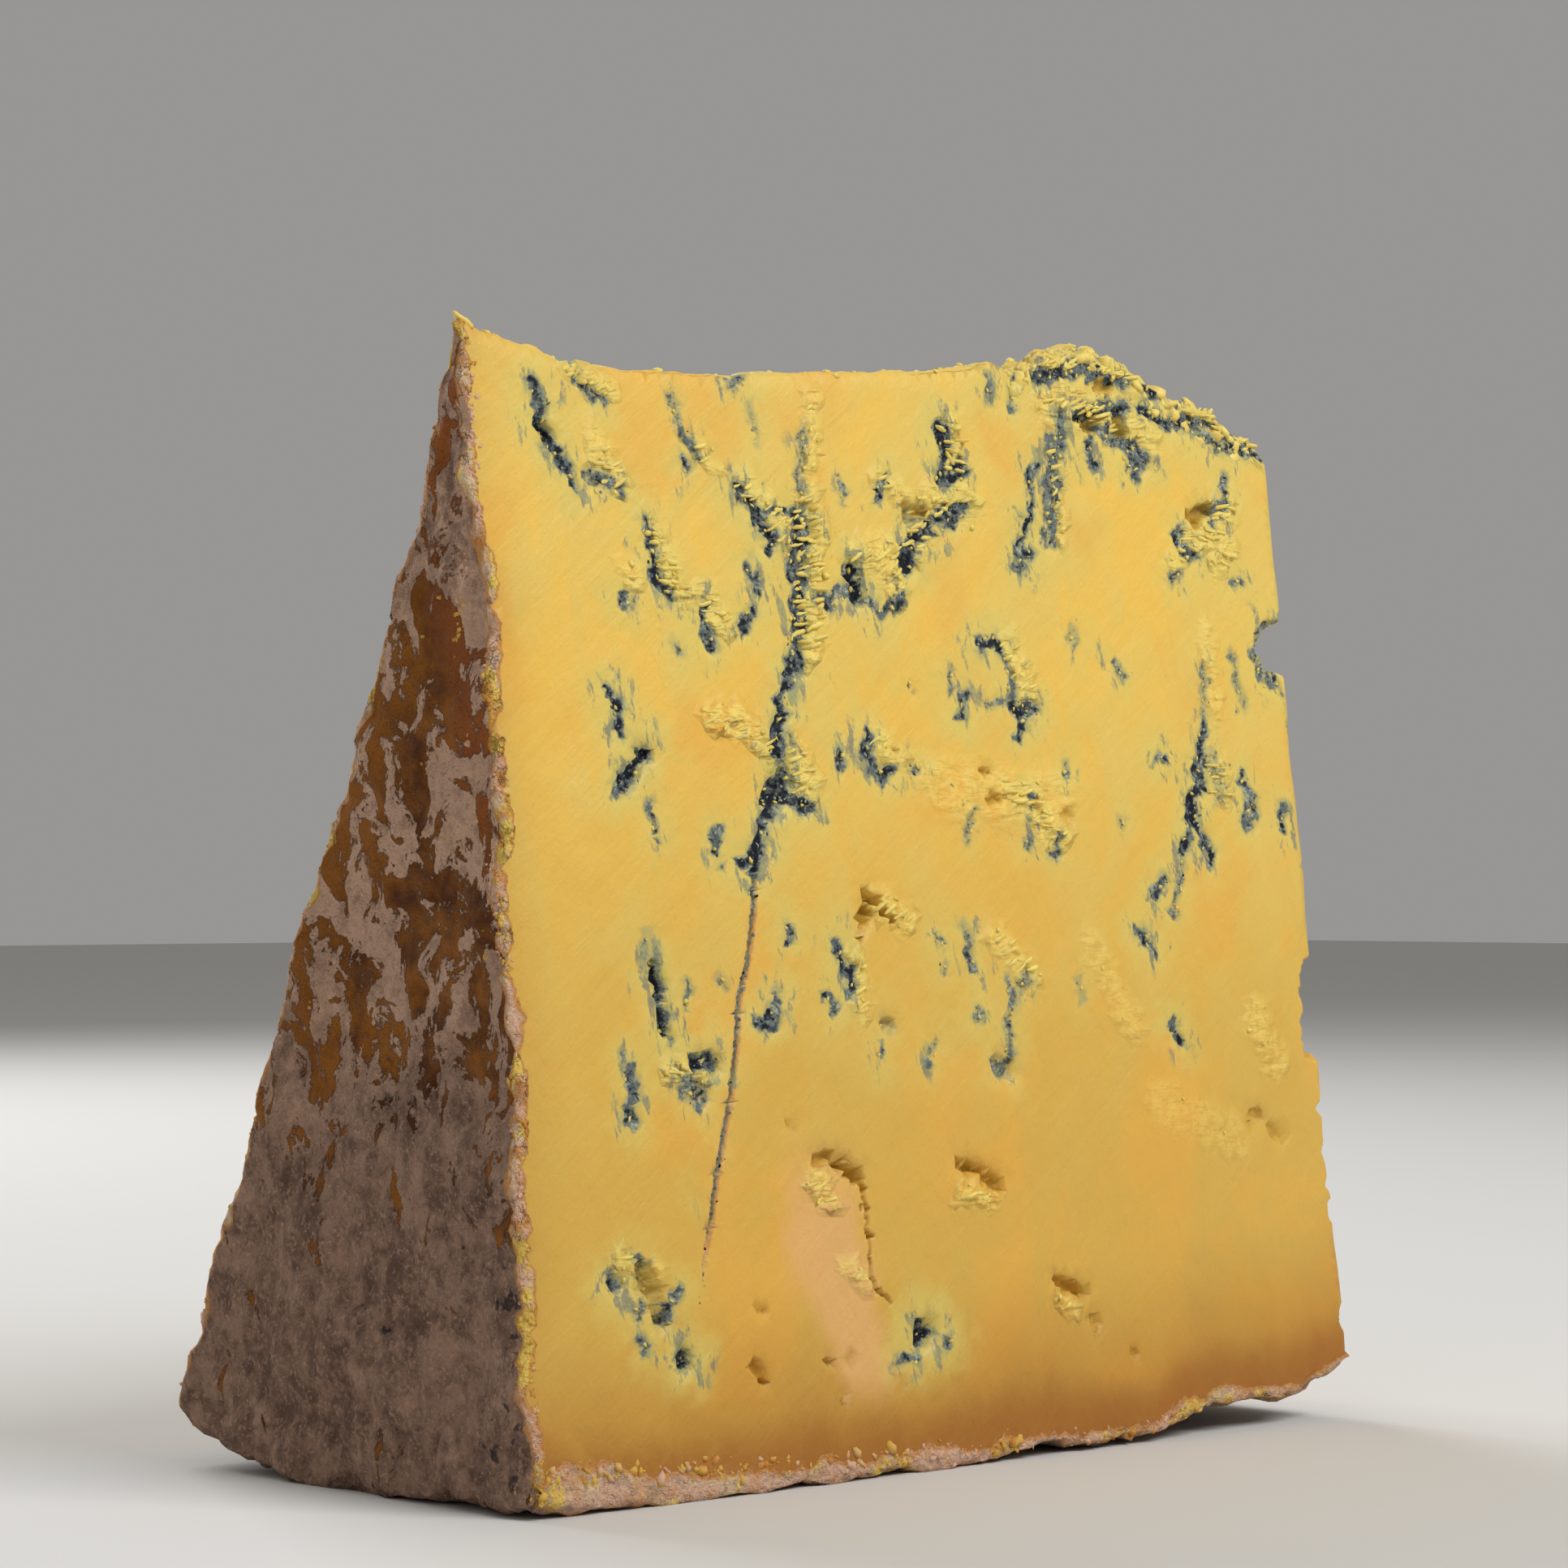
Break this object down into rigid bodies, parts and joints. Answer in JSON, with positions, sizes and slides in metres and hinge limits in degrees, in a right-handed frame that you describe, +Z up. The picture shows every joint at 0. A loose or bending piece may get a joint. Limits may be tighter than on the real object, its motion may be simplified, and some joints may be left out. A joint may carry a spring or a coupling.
{
  "type": "blue cheese wedge",
  "caption": "Wedge of veined orange-yellow blue cheese standing on its rind with a thin crumbled ridge on top.",
  "frame": {"origin": "centre of the bounding box, on the surface that the wedge stands on", "axes": "+X along the round's axis from the rind end to the cut end, +Y from the leaning front cut to the back cut, +Z up"},
  "size_m": [0.107, 0.0548, 0.1053],
  "materials": {
    "paste": "smooth waxy orange-yellow cut paste with a soft sheen and blue-grey mould veins",
    "curd": "pale yellow moist curls and crumbs of curd",
    "mould": "dull blue-grey crumbs of mould",
    "rind": "dry dusty grey-mauve natural rind with chestnut and ochre patches"
  },
  "bodies": {
    "root": {"cheese_wedge": "paste"}
  },
  "joints": []
}
